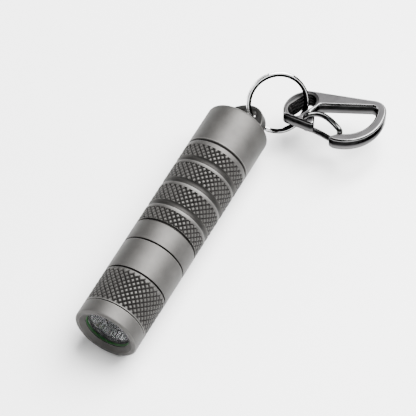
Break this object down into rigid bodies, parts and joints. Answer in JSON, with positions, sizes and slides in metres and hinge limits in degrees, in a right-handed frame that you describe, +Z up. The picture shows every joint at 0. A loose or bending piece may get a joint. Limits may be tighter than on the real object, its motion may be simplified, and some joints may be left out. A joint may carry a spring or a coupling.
{
  "type": "keychain flashlight",
  "caption": "Small round metal flashlight with knurled grip, arched key tab, split ring and snap clip; head and tail unscrew to reach the rechargeable cell.",
  "frame": {"origin": "on the optical axis, halfway along the smooth part of the head between its fine groove and the seam with the tube", "axes": "-Y along the beam, +Y towards the key tab, +Z up with the light lying on its side, +X towards the snap clip"},
  "size_m": [0.0424, 0.0942, 0.0192],
  "materials": {
    "shell_metal": "bead blasted, titanium grey",
    "window_glass": "clear, coated",
    "green_gasket": "soft satin",
    "reflector_mirror": "smooth",
    "white_plastic": "satin",
    "emitter_phosphor": "domed phosphor",
    "board_white": "solder mask",
    "red_insulation": "silicone",
    "black_insulation": "silicone",
    "board_green": "solder mask",
    "brass_metal": "turned",
    "gold_plate": "gold plated",
    "black_rubber": "greased",
    "cell_metal": "nickel plated",
    "cell_white": "shrink film, without its printing",
    "socket_steel": "pressed shell",
    "spring_plate": "gold plated wire",
    "ring_steel": "polished",
    "clip_metal": "black nickel, satin faces and glossy edges",
    "gate_wire": "polished dark wire"
  },
  "bodies": {
    "tube": {"body_tube": "shell_metal", "head_oring": "black_rubber", "tail_oring": "black_rubber"},
    "cell": {"cell_can": "cell_metal", "cell_wrapper": "cell_white", "cell_insulator": "white_plastic", "cell_button": "gold_plate", "usb_socket": "socket_steel"},
    "head": {"head_shell": "shell_metal", "bezel_ring": "shell_metal", "front_glass": "window_glass", "lens_gasket": "green_gasket", "reflector": "reflector_mirror", "led_spacer": "white_plastic", "led_emitter": "emitter_phosphor", "led_board": "board_white", "positive_lead": "red_insulation", "negative_lead": "black_insulation", "driver_board": "board_green", "driver_ring": "brass_metal", "contact_post": "gold_plate"},
    "spring": {"tail_spring": "spring_plate"},
    "tail": {"tail_cap": "shell_metal", "tail_board": "board_green", "tail_board_ring": "brass_metal"},
    "ring": {"split_ring": "ring_steel"},
    "clip": {"clip_body": "clip_metal"},
    "gate": {"clip_gate": "gate_wire"}
  },
  "joints": [
    {"name": "head_travel", "type": "slide", "parent": "tube", "child": "cell", "axis": [0, -1, 0], "range_m": [0, 0.006]},
    {"name": "head_twist", "type": "hinge", "parent": "cell", "child": "head", "pos_m": [0, 0, 0], "axis": [0, -1, 0], "range_deg": [0, 2161]},
    {"name": "tail_travel", "type": "slide", "parent": "tube", "child": "spring", "axis": [0, 1, 0], "range_m": [0, 0.004], "deforming": ["tail_spring"]},
    {"name": "tail_twist", "type": "hinge", "parent": "spring", "child": "tail", "pos_m": [0, 0.045, 0], "axis": [0, 1, 0], "range_deg": [0, 1441]},
    {"name": "ring_swing", "type": "hinge", "parent": "tail", "child": "ring", "pos_m": [0.00226, 0.05522, 0.00118], "axis": [-0.6482, 0.1781, 0.7403], "range_deg": [-60, 88]},
    {"name": "clip_swing", "type": "hinge", "parent": "ring", "child": "clip", "pos_m": [0.01305, 0.06507, 0.00125], "axis": [-0.122, 0.6491, 0.7509], "range_deg": [-14, 33]},
    {"name": "gate_swing", "type": "hinge", "parent": "clip", "child": "gate", "pos_m": [0.01517, 0.0605, 0.00125], "axis": [0, 0, 1], "range_deg": [0, 44], "stiffness_Nm_per_rad": 0.02, "springref_deg": -20.05}
  ],
  "couplings": [
    {"joint": "head_twist", "follows": "head_travel", "rad_per_m": 6283.2},
    {"joint": "tail_twist", "follows": "tail_travel", "rad_per_m": 6283.2}
  ]
}
